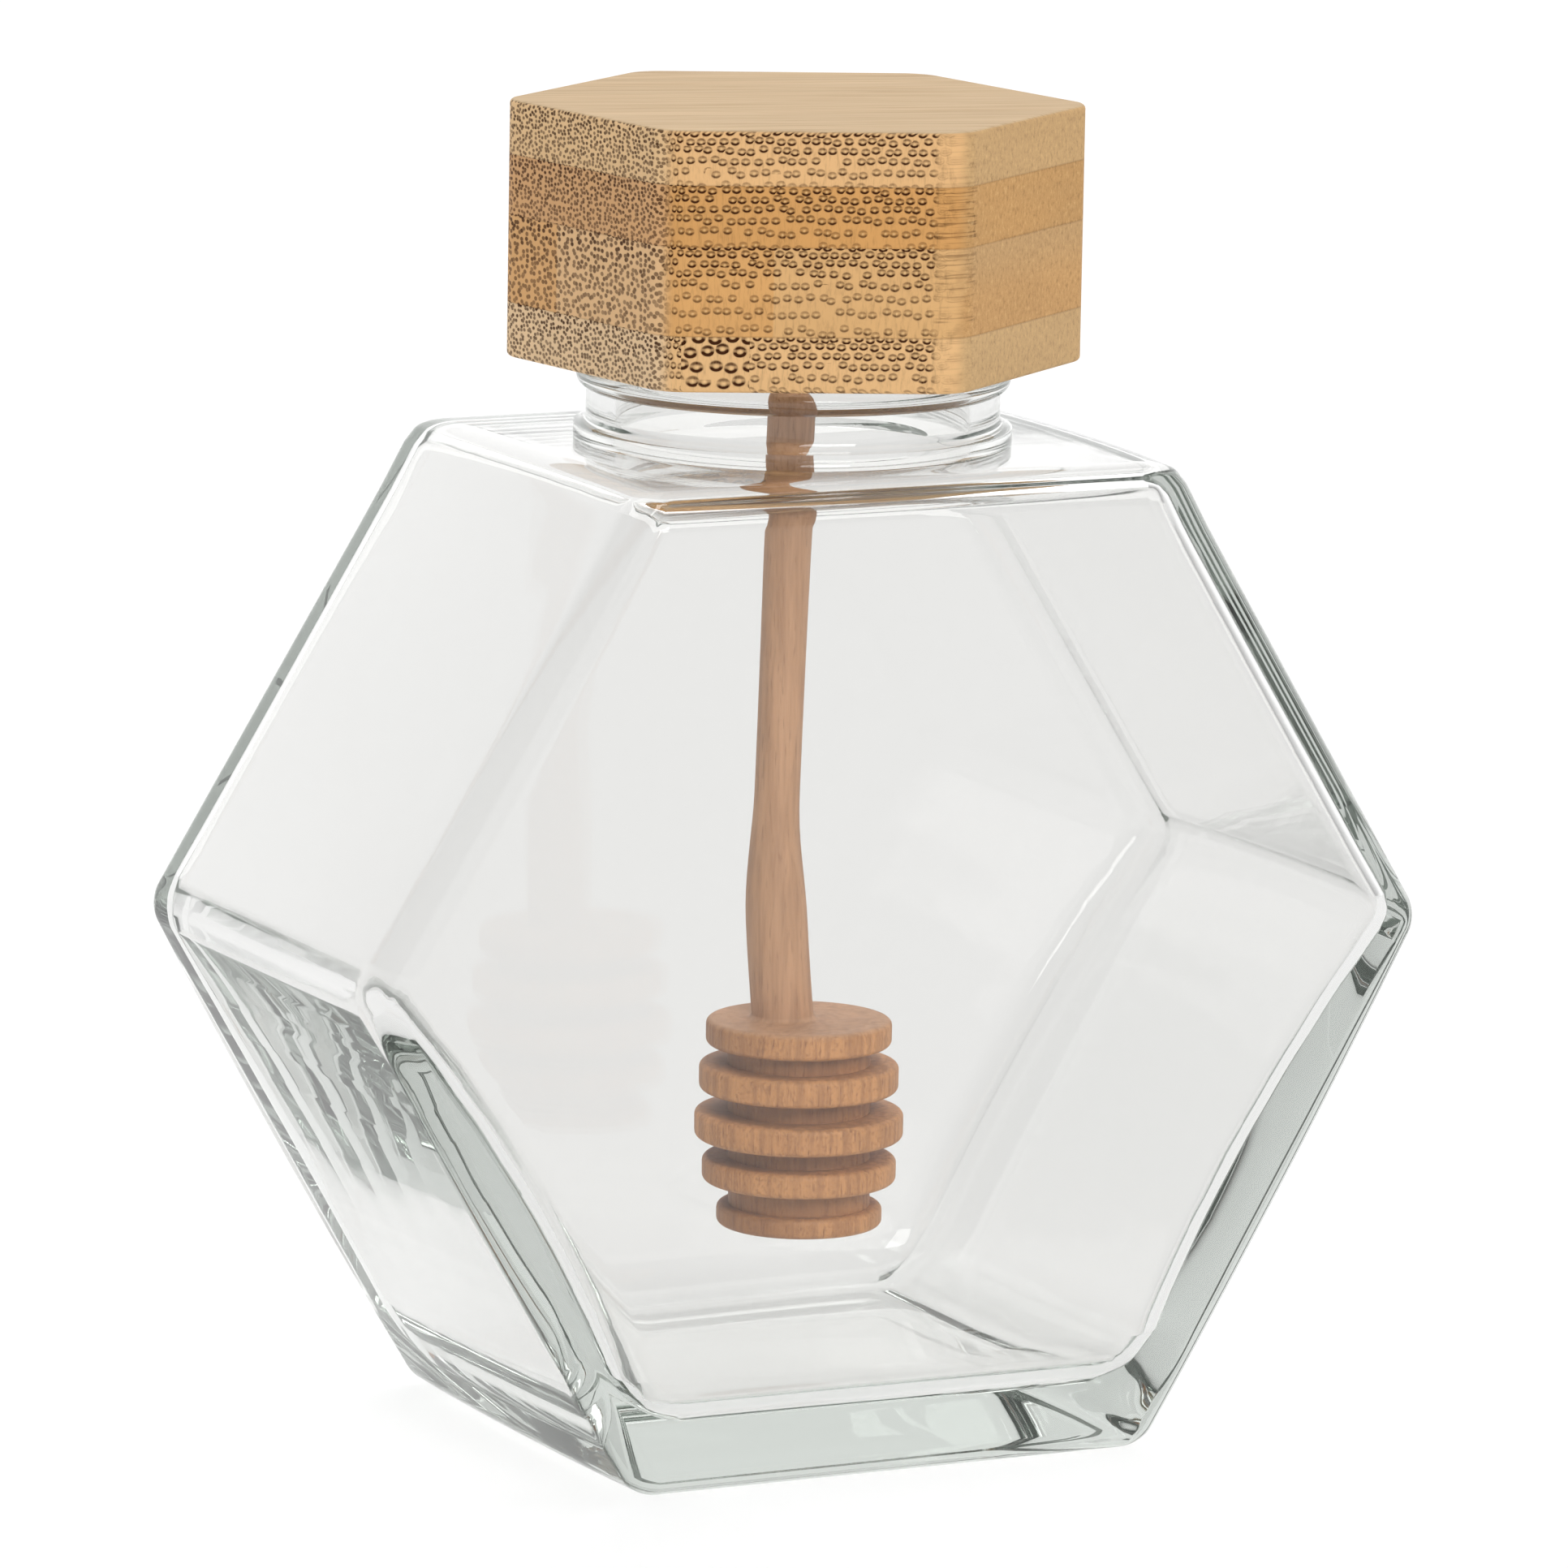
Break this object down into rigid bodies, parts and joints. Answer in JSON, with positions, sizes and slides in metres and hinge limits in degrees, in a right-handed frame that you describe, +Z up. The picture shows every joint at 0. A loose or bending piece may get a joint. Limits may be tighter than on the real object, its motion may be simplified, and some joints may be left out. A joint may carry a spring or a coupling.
{
  "type": "hexagonal honey jar",
  "caption": "Empty clear glass honey jar, a hexagonal prism on its side with a round neck, closed by a six-sided bamboo cap that carries a turned wooden honey dipper.",
  "frame": {"origin": "centre of the base, on the surface that the jar stands on", "axes": "+Z up through the neck and the cap, +X towards the right corner seen from the front, -Y out of the front hexagonal face"},
  "size_m": [0.1148, 0.0558, 0.1314],
  "materials": {
    "glass": "clear flint glass with a faint green tint in its thick edges, glossy",
    "bamboo": "laminated bamboo in four layers, with dark fibre ends on the sides, satin",
    "dipper_wood": "turned beech, unvarnished, matt"
  },
  "bodies": {
    "root": {"glass_jar": "glass", "bamboo_cap": "bamboo", "honey_dipper": "dipper_wood"}
  },
  "joints": []
}
